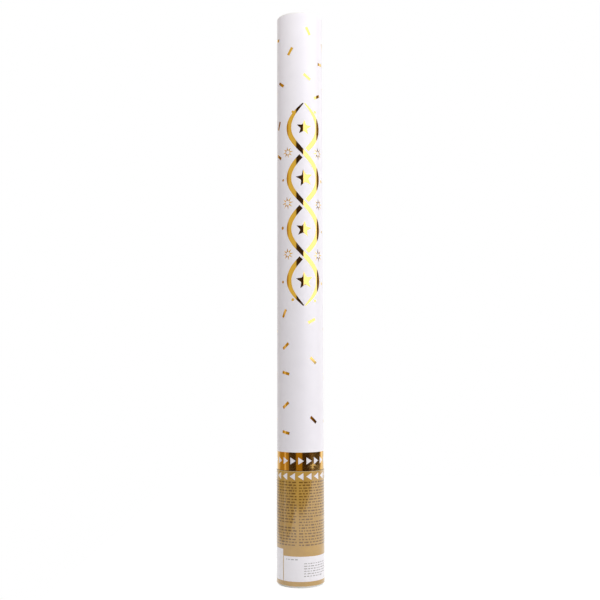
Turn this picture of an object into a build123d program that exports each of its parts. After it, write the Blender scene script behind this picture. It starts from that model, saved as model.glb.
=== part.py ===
from build123d import *
import os
from math import asin, degrees, sqrt

# Hand-held confetti popper, fired by compressed air with a quarter turn of its barrel.
# A printed paper barrel turns on a printed paper handle. The handle holds a charged air bottle,
# and a stopper closes the bottle's neck. A cross pin through the stopper rides in two straight slots
# of the neck and in two helical slots of the breech, which is glued into the barrel. Turning the barrel
# winds the stopper out of its seat, and the air throws the wad, the confetti and the muzzle plug out.
# Millimetres, +Z up along the barrel, origin at the centre of the base, front towards -Y.

# Barrel: spiral-wound paper tube, its printed wrap and, flush with it, the foil band at the twist joint
barrel_length = 482.6
barrel_bore = 44.0
barrel_wall = 2.0
wrap_thickness = 0.3
foil_band_height = 18.6
rim_rounding = 0.5

# Handle: shorter paper tube with its own printed wrap, a little proud of the barrel
handle_length = 115.0
handle_proud = 0.7
handle_wall = 2.0
handle_wrap_thickness = 0.3
twist_gap = 0.4

# Base cap: moulded plug that closes the handle and carries the bottle on ribs
cap_lip_height = 2.0
cap_lip_inset = 1.2
cap_lip_rounding = 0.8
cap_plug_height = 9.0
cap_wall = 2.2
cap_floor = 2.0
cap_foot_width = 6.0
cap_recess_depth = 1.0
cap_rib_thickness = 1.6
cap_rib_margin = 1.5
cap_rib_count = 6

# Air bottle: blown vessel with a domed shoulder and a long slotted neck
bottle_clearance = 0.4
bottle_wall = 1.6
bottle_base = 3.0
bottle_heel = 4.0
bottle_dome_height = 13.0
bottle_crown = 3.0
shoulder_drop = 13.4
shoulder_margin = 0.6
seat_bore = 14.0
seat_rise = 6.0
neck_step = 1.5
neck_wall = 2.0
neck_land = 1.5

# Breech: moulded piece glued into the barrel, with the cam sleeve that turns on the neck
running_clearance = 0.06
axial_play = 0.15
glue_gap = 0.05
sleeve_wall = 3.5
sleeve_cover = 4.0
web_thickness = 3.0
breech_ring_wall = 2.0
skirt_clearance = 0.3
skirt_wall = 1.8
skirt_depth = 10.0
gusset_thickness = 1.6
gusset_count = 8
plenum_gap = 3.0

# Washer, seal and circlip between the neck and the breech
washer_thickness = 1.0
neck_ring_section = 1.8
neck_ring_rise = 3.5
circlip_thickness = 1.2
circlip_bite = 0.8
circlip_reach = 1.6
circlip_opening = 7.0

# Stopper, its seal and its cross pin
quarter_turn = 90.0
stopper_lift = 5.0
stopper_clearance = 0.1
stopper_length = 10.0
stopper_ring_section = 1.8
stopper_ring_inset = 1.9
flute_width = 3.0
flute_depth = 1.6
flute_land = 0.6
flute_count = 4
stem_diameter = 9.0
stem_cap = 4.0
pin_diameter = 4.0
pin_clearance = 0.2
pin_rise = 6.0
pin_tip_inset = 0.5

# Seal clearance and groove slack, shared by both rubber rings
seal_gap = 0.05
groove_slack = 0.2

# Filling valve in the bottle's base: a sprung ball in a turned body
ball_diameter = 4.0
ball_clearance = 0.6
ball_seat_gap = 0.02
valve_wall = 1.6
valve_inlet = 2.4
valve_inlet_length = 3.0
valve_flange_width = 1.8
valve_flange_thickness = 1.5
gasket_thickness = 0.8
nut_across_flats = 13.0
nut_thickness = 3.0
retainer_thickness = 1.2
retainer_port = 2.0
spring_wire = 0.5
spring_diameter = 3.0
spring_pitch = 1.1
spring_turns = 5

# Charge: wad, foam pad, tiers of slip bundles, cover disc and the foil-faced plug in the muzzle
wad_clearance = 0.3
wad_thickness = 3.0
pad_thickness = 6.0
pad_clearance = 0.5
tier_count = 8
bundle_clearance = 0.8
bundle_gap = 0.3
cover_thickness = 1.0
head_space = 40.0
plug_clearance = 0.15
plug_wall = 0.8
plug_skirt = 8.0
plug_recess = 2.0

# How far every cutting tool runs past what it cuts
overrun = 1.0

# Radii, from the axis outwards
barrel_bore_radius = barrel_bore / 2
barrel_radius = barrel_bore_radius + barrel_wall
wrap_radius = barrel_radius + wrap_thickness
handle_wrap_radius = wrap_radius + handle_proud
handle_radius = handle_wrap_radius - handle_wrap_thickness
handle_bore_radius = handle_radius - handle_wall
bottle_radius = handle_bore_radius - bottle_clearance
seat_radius = seat_bore / 2
neck_bore_radius = seat_radius + neck_step
neck_radius = neck_bore_radius + neck_wall
sleeve_bore_radius = neck_radius + running_clearance
sleeve_radius = sleeve_bore_radius + sleeve_wall
washer_radius = sleeve_radius
shoulder_radius = washer_radius + shoulder_margin
pin_radius = pin_diameter / 2

# Heights, from the base upwards
joint_height = cap_lip_height + handle_length
barrel_low = joint_height + twist_gap
muzzle_height = barrel_low + barrel_length
bottle_low = cap_lip_height + cap_plug_height
shoulder_height = joint_height - shoulder_drop
dome_height = shoulder_height - bottle_dome_height
seat_top = shoulder_height + seat_rise
washer_top = shoulder_height + washer_thickness
sleeve_low = washer_top + axial_play
web_low = barrel_low - web_thickness
pin_height = barrel_low + pin_rise
sleeve_top = pin_height + stopper_lift + pin_radius + sleeve_cover
circlip_low = sleeve_top + axial_play
circlip_top = circlip_low + circlip_thickness
neck_top = circlip_top + neck_land
wad_low = neck_top + plenum_gap
plug_top = muzzle_height - plug_recess
plug_low = plug_top - plug_wall

# Helix of the breech's cam slots: the stopper rises by its lift in a quarter turn
slot_lead = stopper_lift * 360 / quarter_turn
slot_width = pin_diameter + 2 * pin_clearance
slot_end_angle = degrees(asin(slot_width / 2 / sleeve_bore_radius))


def tube(outer_radius, inner_radius, low, high):
    """A plain ring or tube about Z, between two heights."""
    ring = Circle(outer_radius) - Circle(inner_radius)
    return Pos(0, 0, low) * extrude(ring, amount=high - low)


def disc(radius, low, high):
    """A plain disc about Z, between two heights."""
    return Pos(0, 0, low) * extrude(Circle(radius), amount=high - low)


def turned(points):
    """A solid turned about Z from a closed outline of (radius, height) points."""
    outline = Polyline([(radius, 0, height) for radius, height in points], close=True)
    return revolve(make_face(outline), axis=Axis.Z)


def round_ring(outer_radius, section, height):
    """A rubber ring of round section whose outer side touches a radius."""
    return Pos(0, 0, height) * Torus(outer_radius - section / 2, section / 2)


def groove(outer_radius, inner_radius, width, height):
    """The ring-shaped cut for a rubber ring or a circlip, centred on a height."""
    return tube(outer_radius + overrun, inner_radius, height - width / 2, height + width / 2)


def barrel_tube():
    tube_body = tube(barrel_radius, barrel_bore_radius, barrel_low, muzzle_height)
    rim = tube_body.edges().group_by(Axis.Z)[-1]
    return fillet(rim, min(rim_rounding, barrel_wall / 3))


def barrel_wrap():
    return tube(wrap_radius, barrel_radius, barrel_low + foil_band_height, muzzle_height - rim_rounding)


def foil_band():
    return tube(wrap_radius, barrel_radius, barrel_low, barrel_low + foil_band_height)


def handle_tube():
    return tube(handle_radius, handle_bore_radius, cap_lip_height, joint_height)


def handle_wrap():
    return tube(handle_wrap_radius, handle_radius, cap_lip_height, joint_height)


def base_cap():
    lip_radius = handle_wrap_radius - cap_lip_inset
    plug_radius = handle_bore_radius - glue_gap
    floor_top = cap_recess_depth + cap_floor
    body = turned([
        (0, cap_recess_depth),
        (lip_radius - cap_foot_width, cap_recess_depth),
        (lip_radius - cap_foot_width, 0),
        (lip_radius, 0),
        (lip_radius, cap_lip_height),
        (plug_radius, cap_lip_height),
        (plug_radius, bottle_low),
        (plug_radius - cap_wall, bottle_low),
        (plug_radius - cap_wall, floor_top),
        (0, floor_top),
    ])
    foot_edge = body.edges().filter_by(GeomType.CIRCLE).group_by(Axis.Z)[0].sort_by(SortBy.RADIUS)[-1]
    body = fillet(foot_edge, min(cap_lip_rounding, cap_lip_height / 2))
    rib_start = valve_flange_radius() + cap_rib_margin
    rib_end = plug_radius - cap_wall / 2
    rib_box = Box(
        rib_end - rib_start,
        cap_rib_thickness,
        bottle_low - floor_top + cap_floor / 2,
        align=(Align.MIN, Align.CENTER, Align.MAX),
    )
    for turn in range(cap_rib_count):
        body += Rot(0, 0, turn * 360 / cap_rib_count) * Pos(rib_start, 0, bottle_low) * rib_box
    return body


def vessel_outline(radius, low, heel, dome_low, top_radius, top):
    """The face of one side of the bottle's skin: base, rounded heel, wall and domed shoulder."""
    wall_low = low + heel
    lines = [
        Line((0, 0, top), (0, 0, low)),
        Line((0, 0, low), (radius - heel, 0, low)),
        TangentArc((radius - heel, 0, low), (radius, 0, wall_low), tangent=(1, 0, 0)),
        Line((radius, 0, wall_low), (radius, 0, dome_low)),
        TangentArc((radius, 0, dome_low), (top_radius, 0, top), tangent=(0, 0, 1)),
        Line((top_radius, 0, top), (0, 0, top)),
    ]
    return make_face(Curve() + lines)


def air_bottle():
    inner_radius = bottle_radius - bottle_wall
    inner_heel = bottle_heel - bottle_wall
    crown_low = shoulder_height - bottle_crown
    inner_dome = crown_low - (inner_radius - seat_radius)
    skin = vessel_outline(
        bottle_radius, bottle_low, bottle_heel, dome_height, shoulder_radius, shoulder_height
    )
    hollow = vessel_outline(
        inner_radius, bottle_low + bottle_base, inner_heel, inner_dome, seat_radius, crown_low
    )
    body = revolve(skin, axis=Axis.Z) + disc(neck_radius, crown_low, neck_top)
    body -= revolve(hollow, axis=Axis.Z)
    body -= disc(seat_radius, crown_low - overrun, neck_top + overrun)
    body -= disc(neck_bore_radius, seat_top, neck_top + overrun)
    body -= disc(valve_radius() + glue_gap, bottle_low - overrun, bottle_low + bottle_base + overrun)
    pin_window = Box(
        2 * (neck_radius + overrun),
        pin_diameter + 2 * pin_clearance,
        stopper_lift + pin_diameter + 2 * pin_clearance,
    )
    body -= Pos(0, 0, pin_height + stopper_lift / 2) * pin_window
    body -= groove(neck_radius, neck_ring_floor(), neck_ring_section + groove_slack, neck_ring_height())
    circlip_middle = circlip_low + circlip_thickness / 2
    body -= groove(neck_radius, neck_radius - circlip_bite, circlip_thickness, circlip_middle)
    return body


def neck_ring_height():
    return sleeve_low + neck_ring_rise


def neck_ring_floor():
    return sleeve_bore_radius - seal_gap - neck_ring_section - seal_gap


def neck_o_ring():
    return round_ring(sleeve_bore_radius - seal_gap, neck_ring_section, neck_ring_height())


def thrust_washer():
    return tube(washer_radius, neck_radius + glue_gap, shoulder_height, washer_top)


def circlip():
    ring = tube(neck_radius + circlip_reach, neck_radius - circlip_bite, circlip_low, circlip_top)
    opening = Box(
        circlip_opening,
        neck_radius + circlip_reach + overrun,
        circlip_thickness + 2 * overrun,
        align=(Align.CENTER, Align.MIN, Align.CENTER),
    )
    return ring - Pos(0, 0, circlip_low + circlip_thickness / 2) * opening


def cam_slot_cutter():
    """The helical band that the cross pin's end sweeps through the cam sleeve."""
    height = slot_lead * (quarter_turn + 2 * slot_end_angle) / 360
    path = Helix(slot_lead, height, sleeve_bore_radius, lefthand=True)
    start = Plane(path @ 0, x_dir=(1, 0, 0), z_dir=path % 0)
    mouth = Rectangle(sleeve_wall + 2 * overrun, slot_width, align=(Align.MIN, Align.CENTER))
    band = sweep(start * Pos(-overrun, 0) * mouth, path=path, is_frenet=True)
    start_height = pin_height - slot_lead * slot_end_angle / 360
    return Pos(0, 0, start_height) * Rot(0, 0, slot_end_angle) * band


def breech():
    ring_radius = barrel_bore_radius - glue_gap
    ring_bore = barrel_bore_radius - breech_ring_wall
    skirt_radius = handle_bore_radius - skirt_clearance
    skirt_bore = skirt_radius - skirt_wall
    skirt_low = barrel_low - skirt_depth
    body = turned([
        (sleeve_bore_radius, sleeve_low),
        (sleeve_radius, sleeve_low),
        (sleeve_radius, web_low),
        (skirt_bore, web_low),
        (skirt_bore, skirt_low),
        (skirt_radius, skirt_low),
        (skirt_radius, barrel_low),
        (ring_radius, barrel_low),
        (ring_radius, wad_low),
        (ring_bore, wad_low),
        (ring_bore, barrel_low),
        (sleeve_radius, barrel_low),
        (sleeve_radius, sleeve_top),
        (sleeve_bore_radius, sleeve_top),
    ])
    gusset_start = sleeve_radius - sleeve_wall / 2
    gusset_end = skirt_bore + skirt_wall / 2
    gusset = Box(
        gusset_end - gusset_start,
        gusset_thickness,
        web_low - skirt_low + web_thickness / 2,
        align=(Align.MIN, Align.CENTER, Align.MIN),
    )
    for turn in range(gusset_count):
        body += Rot(0, 0, turn * 360 / gusset_count) * Pos(gusset_start, 0, skirt_low) * gusset
    for half_turn in (0, 180):
        body -= Rot(0, 0, half_turn) * cam_slot_cutter()
    return body


def stopper():
    plug_radius = seat_radius - stopper_clearance
    ring_height = seat_top - stopper_ring_inset
    ring_floor = seat_radius - seal_gap - stopper_ring_section - seal_gap
    body = disc(plug_radius, seat_top - stopper_length, seat_top)
    body += disc(stem_diameter / 2, seat_top, pin_height + stem_cap)
    groove_width = stopper_ring_section + groove_slack
    body -= groove(plug_radius, ring_floor, groove_width, ring_height)
    flute_top = ring_height - groove_width / 2 - flute_land
    flute = Box(
        flute_depth + overrun,
        flute_width,
        stopper_length,
        align=(Align.MIN, Align.CENTER, Align.MAX),
    )
    for turn in range(flute_count):
        place = Rot(0, 0, turn * 360 / flute_count) * Pos(plug_radius - flute_depth, 0, flute_top)
        body -= place * flute
    return body - Pos(0, 0, pin_height) * Rot(0, 90, 0) * Cylinder(pin_radius, stem_diameter + overrun)


def stopper_o_ring():
    return round_ring(seat_radius - seal_gap, stopper_ring_section, seat_top - stopper_ring_inset)


def cross_pin():
    length = 2 * (sleeve_radius - pin_tip_inset)
    return Pos(0, 0, pin_height) * Rot(0, 90, 0) * Cylinder(pin_radius, length)


def valve_chamber_radius():
    return ball_diameter / 2 + ball_clearance


def valve_radius():
    return valve_chamber_radius() + valve_wall


def valve_flange_radius():
    return valve_radius() + valve_flange_width


def valve_low():
    return bottle_low - gasket_thickness - valve_flange_thickness


def ball_height():
    """The ball's centre, where it closes a right-angled cone above the inlet."""
    cone_apex = valve_low() + valve_inlet_length - valve_inlet / 2
    return cone_apex + (ball_diameter / 2 + ball_seat_gap) * sqrt(2)


def spring_low():
    """The middle of the spring's lowest wire, where it lies on the ball."""
    reach = (ball_diameter + spring_wire) / 2 + seal_gap
    return ball_height() + sqrt(reach**2 - (spring_diameter / 2) ** 2)


def retainer_low():
    return spring_low() + spring_turns * spring_pitch + spring_wire / 2 + seal_gap


def fill_valve_body():
    cone_low = valve_low() + valve_inlet_length
    cone_top = cone_low + valve_chamber_radius() - valve_inlet / 2
    flange_top = bottle_low - gasket_thickness
    valve_top = retainer_low() + retainer_thickness
    return turned([
        (valve_inlet / 2, valve_low()),
        (valve_flange_radius(), valve_low()),
        (valve_flange_radius(), flange_top),
        (valve_radius(), flange_top),
        (valve_radius(), valve_top),
        (valve_chamber_radius(), valve_top),
        (valve_chamber_radius(), cone_top),
        (valve_inlet / 2, cone_low),
    ])


def fill_valve_gasket():
    return tube(valve_flange_radius(), valve_radius() + glue_gap, bottle_low - gasket_thickness, bottle_low)


def fill_valve_nut():
    nut_low = bottle_low + bottle_base
    outline = RegularPolygon(nut_across_flats / 2, 6, major_radius=False) - Circle(valve_radius() + glue_gap)
    return Pos(0, 0, nut_low) * extrude(outline, amount=nut_thickness)


def fill_valve_retainer():
    low = retainer_low()
    return tube(valve_chamber_radius() - glue_gap, retainer_port / 2, low, low + retainer_thickness)


def fill_valve_ball():
    return Pos(0, 0, ball_height()) * Sphere(ball_diameter / 2)


def fill_valve_spring():
    """A round wire wound on a steady helix."""
    path = Helix(spring_pitch, spring_turns * spring_pitch, spring_diameter / 2)
    section = Plane(path @ 0, z_dir=path % 0) * Circle(spring_wire / 2)
    return Pos(0, 0, spring_low()) * sweep(section, path=path, is_frenet=True)


def charge_nodes():
    """The wad, the pad, the tiers of four slip bundles that fill the barrel, and the cover disc."""
    nodes = {}
    wad_top = wad_low + wad_thickness
    pad_top = wad_top + pad_thickness
    nodes["pusher_wad"] = disc(barrel_bore_radius - wad_clearance, wad_low, wad_top)
    nodes["foam_pad"] = disc(barrel_bore_radius - pad_clearance, wad_top, pad_top)
    cover_low = plug_top - plug_skirt - head_space - cover_thickness
    slip_length = (cover_low - pad_top) / tier_count
    pair_side = (barrel_bore_radius - bundle_clearance) * sqrt(2)
    bundle_side = (pair_side - bundle_gap) / 2
    bundle_offset = (bundle_side + bundle_gap) / 2
    bundle = Box(bundle_side, bundle_side, slip_length, align=(Align.CENTER, Align.CENTER, Align.MIN))
    corners = [(x, y) for x in (-1, 1) for y in (-1, 1)]
    for tier in range(tier_count):
        low = pad_top + tier * slip_length
        places = [Pos(x * bundle_offset, y * bundle_offset, low) for x, y in corners]
        nodes[f"confetti_tier_{tier + 1}"] = Compound(children=[place * bundle for place in places])
    nodes["cover_disc"] = disc(barrel_bore_radius - pad_clearance, cover_low, cover_low + cover_thickness)
    return nodes


def muzzle_plug():
    radius = barrel_bore_radius - plug_clearance
    skirt = tube(radius, radius - plug_wall, plug_top - plug_skirt, plug_top)
    return skirt + disc(radius, plug_low, plug_top)


def all_nodes():
    makers = [
        barrel_tube, barrel_wrap, foil_band, breech,
        handle_tube, handle_wrap, base_cap, air_bottle, thrust_washer, neck_o_ring, circlip,
        fill_valve_body, fill_valve_gasket, fill_valve_nut, fill_valve_retainer, fill_valve_spring,
        fill_valve_ball, stopper, stopper_o_ring, cross_pin, muzzle_plug,
    ]
    nodes = {maker.__name__: maker() for maker in makers}
    return nodes | charge_nodes()


os.makedirs("parts", exist_ok=True)
for name, shape in all_nodes().items():
    export_step(shape, f"parts/{name}.step")
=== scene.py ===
import math
import random

import bmesh
import bpy
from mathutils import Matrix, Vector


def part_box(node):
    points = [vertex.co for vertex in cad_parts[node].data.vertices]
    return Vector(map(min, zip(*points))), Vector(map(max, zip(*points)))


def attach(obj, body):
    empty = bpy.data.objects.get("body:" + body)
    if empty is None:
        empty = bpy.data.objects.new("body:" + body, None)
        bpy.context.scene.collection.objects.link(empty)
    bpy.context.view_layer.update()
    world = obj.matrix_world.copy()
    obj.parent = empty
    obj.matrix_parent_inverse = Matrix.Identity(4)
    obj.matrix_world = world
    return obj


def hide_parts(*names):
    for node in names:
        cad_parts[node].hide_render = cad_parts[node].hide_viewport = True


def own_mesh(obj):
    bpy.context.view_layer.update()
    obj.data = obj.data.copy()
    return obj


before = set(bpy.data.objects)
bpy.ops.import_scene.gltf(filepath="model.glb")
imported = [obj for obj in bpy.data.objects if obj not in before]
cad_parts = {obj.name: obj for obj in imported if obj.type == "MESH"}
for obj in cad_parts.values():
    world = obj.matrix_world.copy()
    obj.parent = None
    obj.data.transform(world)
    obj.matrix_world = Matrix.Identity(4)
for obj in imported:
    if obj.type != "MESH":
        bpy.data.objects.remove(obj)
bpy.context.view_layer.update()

bl_info = {
    "name": "Confetti popper dressing",
    "version": (1, 0, 0),
    "blender": (4, 5, 0),
    "location": "3D View > Sidebar > Popper",
    "description": "Dresses the packed confetti popper with its paper, foil, print, confetti and studio",
    "category": "Object",
}

# A millimetre in metres, how near points merge or count as on the axis, and the angle of a sharp edge

MM = 0.001
WELD = 0.001 * MM
AXIS_REACH = 0.01 * MM
SHARP_ANGLE = math.radians(32)

# Kinds of node that are used often

MATH = "ShaderNodeMath"
MIX = "ShaderNodeMix"
RANGE = "ShaderNodeMapRange"
NOISE = "ShaderNodeTexNoise"
BUMP = "ShaderNodeBump"
SPLIT = "ShaderNodeSeparateXYZ"
JOIN = "ShaderNodeCombineXYZ"
EULER = "FunctionNodeEulerToRotation"
RANDOM = "FunctionNodeRandomValue"
POSITION = "GeometryNodeInputPosition"
ATTRIBUTE = "GeometryNodeInputNamedAttribute"
GRID = "GeometryNodeMeshGrid"
DISC = "GeometryNodeMeshCircle"
LINE = "GeometryNodeMeshLine"
SUBDIVIDE = "GeometryNodeSubdivideMesh"
TRANSFORM = "GeometryNodeTransform"
SET_POSITION = "GeometryNodeSetPosition"
SET_MATERIAL = "GeometryNodeSetMaterial"
INSTANCES = "GeometryNodeInstanceOnPoints"
REALIZE = "GeometryNodeRealizeInstances"
GROUP = "GeometryNodeGroup"
OUTPUT = "NodeGroupOutput"

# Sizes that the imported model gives, and the bores of its two tubes

WRAP_LOW, WRAP_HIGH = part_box("barrel_wrap")
BAND_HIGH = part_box("foil_band")[1]
BARREL_LOW, BARREL_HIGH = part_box("barrel_tube")
SLEEVE_LOW, SLEEVE_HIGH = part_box("handle_wrap")
GRIP_LOW, GRIP_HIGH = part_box("handle_tube")
PLUG_LOW, PLUG_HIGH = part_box("muzzle_plug")
TIERS = sorted(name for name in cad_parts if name.startswith("confetti_tier_"))
BARREL_BORE = 22.0 * MM
GRIP_BORE = 22.7 * MM

# Paper: how far the tubes' edges are rounded and the white wrap is trimmed, and rows of points up each wrap

BARREL_ROUND = 0.4 * MM
GRIP_ROUND = 0.3 * MM
ROUND_STEPS = 4
WRAP_TRIM = 0.05 * MM
WRAP_ROWS = 24
BAND_ROWS = 41
SLEEVE_ROWS = 8

# Creases in the gold band, deepest at its foot, where the joint has rubbed it

CREASE_DEPTH = 0.09 * MM
CREASE_SIZE = 9.0
CREASE_SEED = 32.25
CREASE_FROM, CREASE_FULL = 0.56, 0.8
CREASE_START = 6.0 * MM
CREASE_END = 12.0 * MM

# Places on the barrel's sheet, as degrees round from the front and millimetres up. Sticks add their tilt,
# stars their size and tilt, bursts and dots their size

HALF_TURNS = (0.0, 180.0)
CONFETTI_STICKS = (
    (22, 580, -64), (-74, 575, -15), (81, 568, -62), (-24, 558, 59), (64, 547, 6), (19, 530, -38),
    (-53, 524, -34), (49, 510, 28), (-63, 480, 66), (-63, 446, -32), (-42, 279, 63), (30, 271, 26),
    (-38, 245, 40), (34, 230, -42), (-38, 217, -14), (-38, 184, 40), (34, 169, -42), (-38, 156, -12),
    (91, 262, -22), (90, 214, 58), (89, 168, 18), (90, 520, -50),
)
STAR_SPOTS = ((12, 313, 9.4, 6), (10, 367, 8.6, -8), (12, 421, 9.4, 10), (11, 475, 8.2, -4))
BURST_SPOTS = (
    (52, 340, 7.0), (-31, 341, 6.4), (54, 394, 6.4), (-32, 395, 7.0), (52, 449, 6.8), (-31, 449, 6.2),
)
DOT_SPOTS = (
    (68, 311, 1.7), (-47, 312, 1.4), (70, 366, 1.4), (-48, 369, 1.7), (68, 420, 1.8), (-46, 420, 1.3),
    (42, 493, 1.5), (-17, 492, 1.4), (-18, 293, 1.5), (40, 292, 1.4),
)

# Outlines of marks: points across and up a bar or stick, and corners and finer levels of a ray or dot.
# The point that places a mark carries its values

MARK_VALUES = ("tilt", "length", "breadth")
GRID_MARKS = {"Bar": (6, 2), "Stick": (9, 4)}
DISC_MARKS = {"Ray": (3, 3), "Dot": (20, 1)}
TRIANGLE_LENGTH = 1.5
TRIANGLE_BREADTH = math.sqrt(3.0)
TRIANGLE_CENTRE = 1 / 6
ARROW_LEVEL = 2
STAR_POINTS = 5
STAR_INNER = 0.44
STAR_LEVEL = 3
RAYS_PER_BURST = 8
RAY_INNER_SHARE = 0.34
RAY_TURN = 8
RAY_BREADTH = 1.0 * MM

# The twining streamers, in millimetres and degrees

TWINE_FOOT = 286.0
TWINE_TOP = 502.0
TWINE_WAVE = 54.0
TWINE_SWING = 16.5
TWINE_MIDDLE = 11.0
TWINE_BREAK = 3.4
TWINE_TIP = 0.8
TWINE_TAPER = 26.0
TWINE_BLUNT = 1.0
TWINE_SWELL = 0.2
TWINE_STEPS_PER_MM = 0.8
TWINE_LANES = 6

# Rows of small bars on the handle and its label, in millimetres and degrees. A block gives its first and
# last bearing, its top and its rows

COLUMN_COUNT = 4
COLUMN_START = -3.5
COLUMN_GAP = 5.8
ROW_COUNT = 23
ROW_TOP = 105.9
ROW_PITCH = 2.86
ROW_BARS = (1.2, 4.6)
LABEL_FOOT = 6.7
LABEL_SPANS = ((-43.4, 132.0, 31.6), (-135.0, -45.7, 38.2))
LABEL_STEP = 2.5
LABEL_BLOCKS = (
    (8.0, 74.0, 24.6, 6), (-36.0, 2.0, 28.6, 1), (86.0, 124.0, 27.0, 5), (-128.0, -84.0, 33.0, 4),
)
LABEL_ROW_PITCH = 2.5
LABEL_ROW_HEIGHT = 0.9 * MM
LABEL_BARS = (1.0, 3.6)
BAR_GAPS = (0.9, 1.5)
BAR_HEIGHTS = (0.8, 1.1)
LEAST_BAR = 0.6 * MM
SHORT_ROW_CHANCE = 0.11
SHORT_ROW_SHARES = (0.35, 0.85)
PRINT_SEED = 17

# The foil cup in the muzzle, pressed with a ring, creases to the middle and pleats at its edge

LID_WALL = 0.8 * MM
LID_BEND = 0.7 * MM
LID_BEND_STEPS = 4
LID_DISH = 0.25 * MM
LID_RINGS = 40
LID_SKIRT_SHARES = (0.3, 0.6, 1.0)
LID_RING_RADIUS = 14.0 * MM
LID_RING_WIDTH = 1.3 * MM
LID_RING_DEPTH = 0.3 * MM
LID_CREASES = 6
LID_CREASE_WIDTH = 0.7 * MM
LID_CREASE_DEPTH = 0.15 * MM
LID_PLEATS = 64
LID_PLEAT_START = 0.72
LID_PLEAT_DEPTH = 0.09 * MM
LID_PLEAT_DRIFT = 0.7
LID_PLEAT_DRIFTS = 5

# The slips in a confetti bundle, with room left beside and above them

SLIP_SIDE_ROOM = 1.2 * MM
SLIP_END_ROOM = 0.2 * MM
SLIP_SLIDE = 0.5 * MM
SLIP_SWAY = math.radians(1.6)
FOIL_SHARE = 0.5
FIRST_SEED = 5
SEED_STEP = 3

# The filling valve's spring

WIRE_RADIUS = 0.25 * MM
WIRE_SIDES = 12
COIL_TURNS = 5
COIL_STEPS = 32

# Wear at the cut edges of the paper, as its reach and the noise at which it starts and is full

WEAR_REACH = 0.9 * MM
WEAR_START, WEAR_FULL = 0.95, 1.35

# Shader settings: the strength of plain grain, a metal, and the clear film over a print, which is bonded
# to it and leaves it no shine of its own

GRAIN_STRENGTH = 0.25
METAL = {"Metallic": 1.0}
CLEAR_FILM = {"Specular IOR Level": 0.1, "Coat Weight": 1.0, "Coat Roughness": 0.1, "Coat IOR": 1.9}

# The room that metal and film mirror, in rings of degrees round from the camera's side and the colour there.
# The ground ring lies past the floor, with pale ground at the left. The lower ring reaches from there up
# towards the horizon, with the white behind the popper, warm wood at the left and dark space past the
# floor. The middle ring adds a patch of lamplight at the right, and the upper ring has pale wood beside
# the camera

WHITE = "FFFFFF"
DARK = "3D2C20"
WOOD = "B8932C"
BRONZE = "977832"
LEFT_WHITE = ((-180, WHITE), (-152, WHITE))
RIGHT_WHITE = ((118, BRONZE), (126, WHITE), (180, WHITE))
LOWER_LEFT = LEFT_WHITE + (
    (-124, "DCCBA4"), (-118, WOOD), (-62, WOOD), (-57, DARK), (-23, DARK), (-19, WOOD), (7, WOOD),
    (11, DARK),
)
GROUND_ROOM = LEFT_WHITE + ((-124, "C4C0BD"), (-62, "B9B5B2"), (-30, DARK), (108, DARK)) + RIGHT_WHITE
LOWER_ROOM = LOWER_LEFT + ((108, DARK),) + RIGHT_WHITE
LAMPLIGHT = ((44, DARK), (50, "A87E35"), (66, "7A5526"), (84, DARK))
MIDDLE_ROOM = LOWER_LEFT + LAMPLIGHT + ((108, DARK),) + RIGHT_WHITE
UPPER_LEFT = LEFT_WHITE + ((-140, "D8B878"), (-130, "8A6524"), (-114, "8A6524"), (-108, WOOD), (-63, WOOD))
UPPER_MIDDLE = ((-57, "E5D285"), (-20, "E5D285"), (-16, DARK), (98, DARK), (106, BRONZE))
UPPER_ROOM = UPPER_LEFT + UPPER_MIDDLE + RIGHT_WHITE

# Each ring above the ground, with the slopes of sight between which it takes over from the one below

ROOM_RINGS = ((LOWER_ROOM, -0.145, -0.125), (MIDDLE_ROOM, -0.085, -0.07), (UPPER_ROOM, -0.02, 0.02))

# Soft boxes, as degrees round from the camera's side, metres out, up, across and tall, degrees of dip, and
# whether they are mirrored

SOFT_BOXES = (
    ("key", 56.0, 1.3, 0.772, 2.03, 1.06, 0.0, True),
    ("strip", -80.0, 1.2, 1.0, 0.2, 2.4, 0.0, True),
    ("side", 124.0, 1.2, 0.6, 0.5, 1.6, 0.0, True),
    ("top", -10.0, 0.36, 0.98, 0.3, 0.3, 50.0, True),
    ("back", 192.0, 1.3, 0.7, 1.4, 1.2, 0.0, False),
)

# The floor as it is seen, with the linear grey that takes the lamps' light and the shadow, and the strength
# of its glow. Then the camera's frame in millimetres and its nearest view in metres

FLOOR_VEIL = (0.22, 0.22, 0.22, 1.0)
FLOOR_GLOW = 0.88
FRAME_WIDTH = 36.0
NEAREST_VIEW = 0.01


def linear(code):
    """Turns an sRGB hex colour into linear red, green, blue and alpha."""
    shares = [int(code[i:i + 2], 16) / 255 for i in (0, 2, 4)]
    return tuple(s / 12.92 if s <= 0.04045 else ((s + 0.055) / 1.055) ** 2.4 for s in shares) + (1.0,)


def per_metre(size):
    """Texture scale at which one feature is this many millimetres across."""
    return 1.0 / (size * MM)


# Settings. A setting is a count, a number or a row of numbers, as its default is

LENGTH = {"unit": "LENGTH", "precision": 5}
ANGLE = {"unit": "ROTATION"}
POWER = {"unit": "POWER"}
COLOUR = {"size": 4, "subtype": "COLOR", "min": 0, "max": 1}
PROPERTIES = {
    int: bpy.props.IntProperty,
    float: bpy.props.FloatProperty,
    tuple: bpy.props.FloatVectorProperty,
}


def setting(name, description, default, **more):
    """A value that a user may change."""
    return PROPERTIES[type(default)](name=name, description=description, default=default, **more)


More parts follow.
